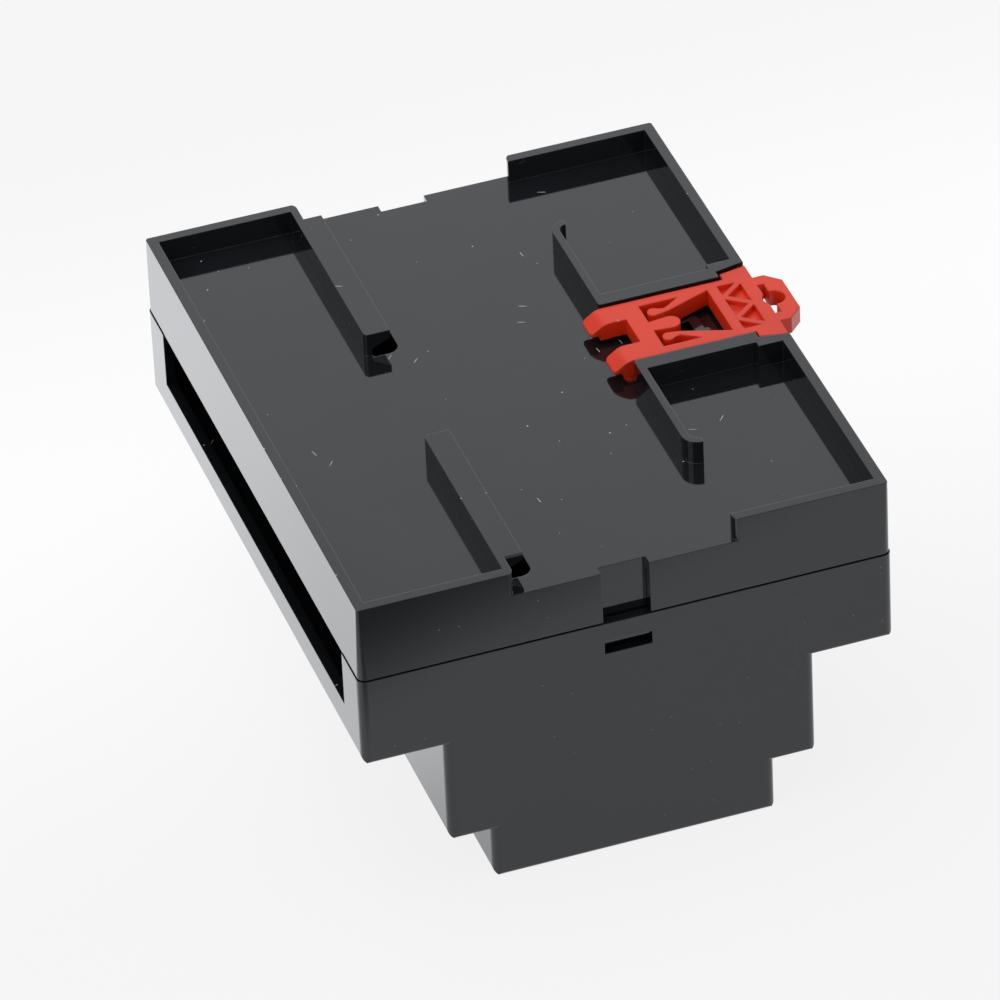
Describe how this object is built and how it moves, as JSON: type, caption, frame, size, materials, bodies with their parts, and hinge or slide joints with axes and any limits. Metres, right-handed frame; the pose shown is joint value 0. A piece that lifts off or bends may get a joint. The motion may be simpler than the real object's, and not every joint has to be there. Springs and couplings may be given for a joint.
{
  "type": "din rail enclosure",
  "caption": "Empty modular housing that clips on a 35 mm rail: moulded base with rail channel, stepped cover, front panel and a sliding red release clip.",
  "frame": {"origin": "centre of the nose's flat face, on which the housing stands, at the middle of the rail seat", "axes": "+X across the rail towards the release clip, +Y along the rail, +Z from the nose to the rail side"},
  "size_m": [0.091, 0.107, 0.0575],
  "materials": {
    "base_plastic": "glossy black moulding",
    "cover_plastic": "glossy black moulding",
    "panel_plastic": "glossy black moulding",
    "clip_plastic": "satin red-orange moulding"
  },
  "bodies": {
    "housing": {"rail_base": "base_plastic", "front_cover": "cover_plastic", "front_panel": "panel_plastic"},
    "clip": {"rail_clip": "clip_plastic"}
  },
  "joints": [
    {"name": "clip_slide", "type": "slide", "parent": "housing", "child": "clip", "axis": [1, 0, 0], "range_m": [0, 0.004], "stiffness_N_per_m": 1000, "springref_m": -0.001}
  ]
}
